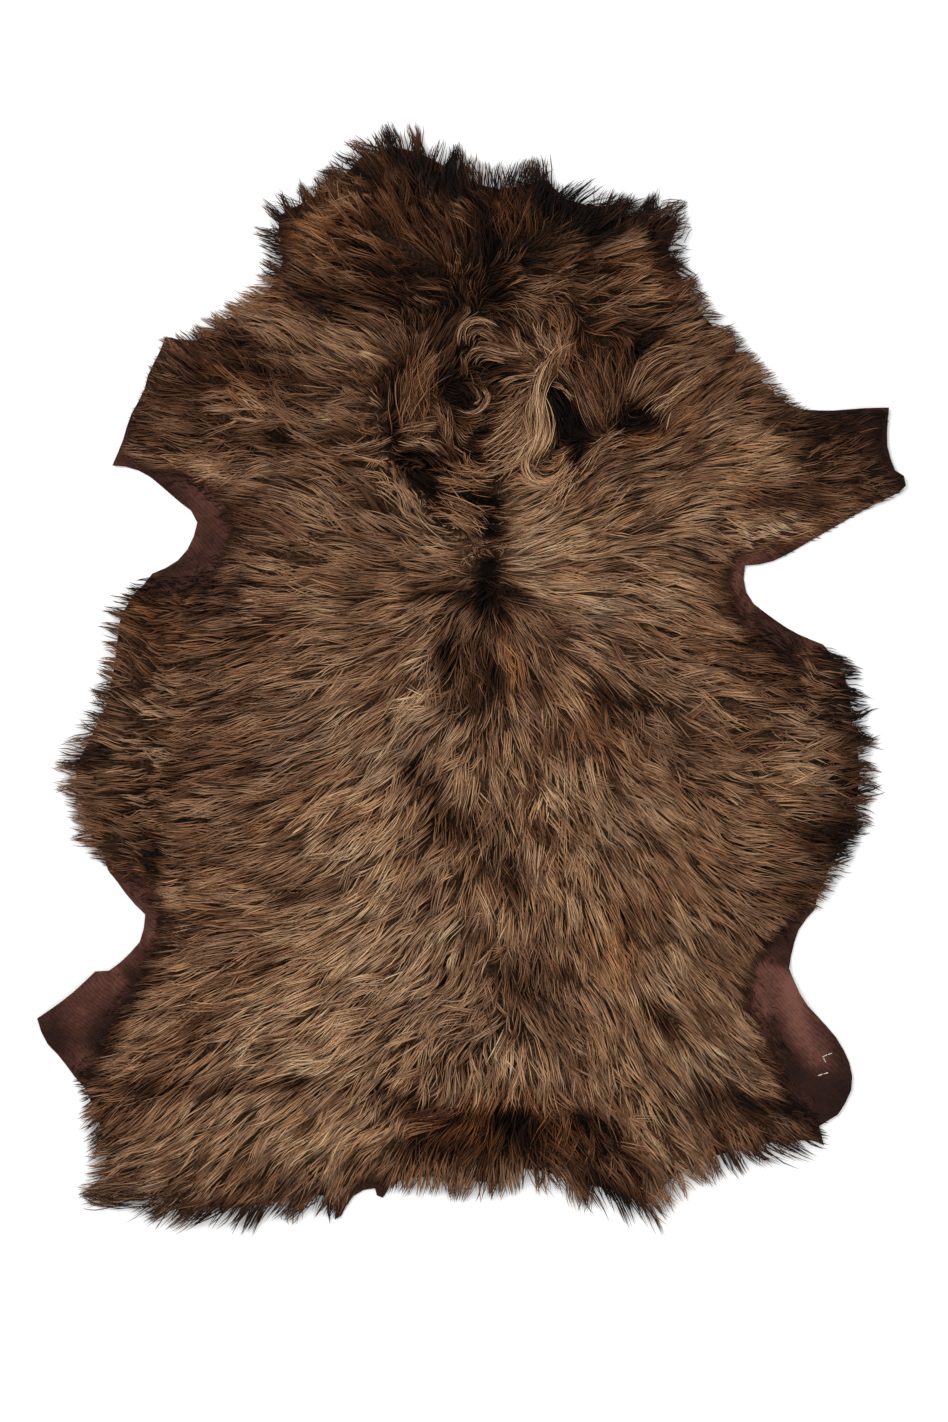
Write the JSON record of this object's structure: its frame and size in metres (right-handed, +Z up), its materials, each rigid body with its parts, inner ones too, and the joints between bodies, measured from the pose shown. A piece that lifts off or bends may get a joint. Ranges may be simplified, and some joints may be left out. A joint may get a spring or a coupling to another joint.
{
  "type": "shearling hide",
  "caption": "Whole sheepskin with its long wool left on, laid out flat with the wool up, its leg ends and flaps cut bare along the edge.",
  "frame": {"origin": "on the surface that the hide lies on, under the middle of its footprint", "axes": "+Z up out of the wool, +Y along the back towards the neck, +X towards the right foreleg as it lies"},
  "size_m": [0.8688, 1.1062, 0.0394],
  "materials": {
    "tanned_leather": "soft red-brown tanned skin with a low sheen",
    "wool": "long brown wool with pale tan tips and near-black partings, matt"
  },
  "bodies": {
    "root": {"skin": "tanned_leather", "fleece": "wool"}
  },
  "joints": []
}
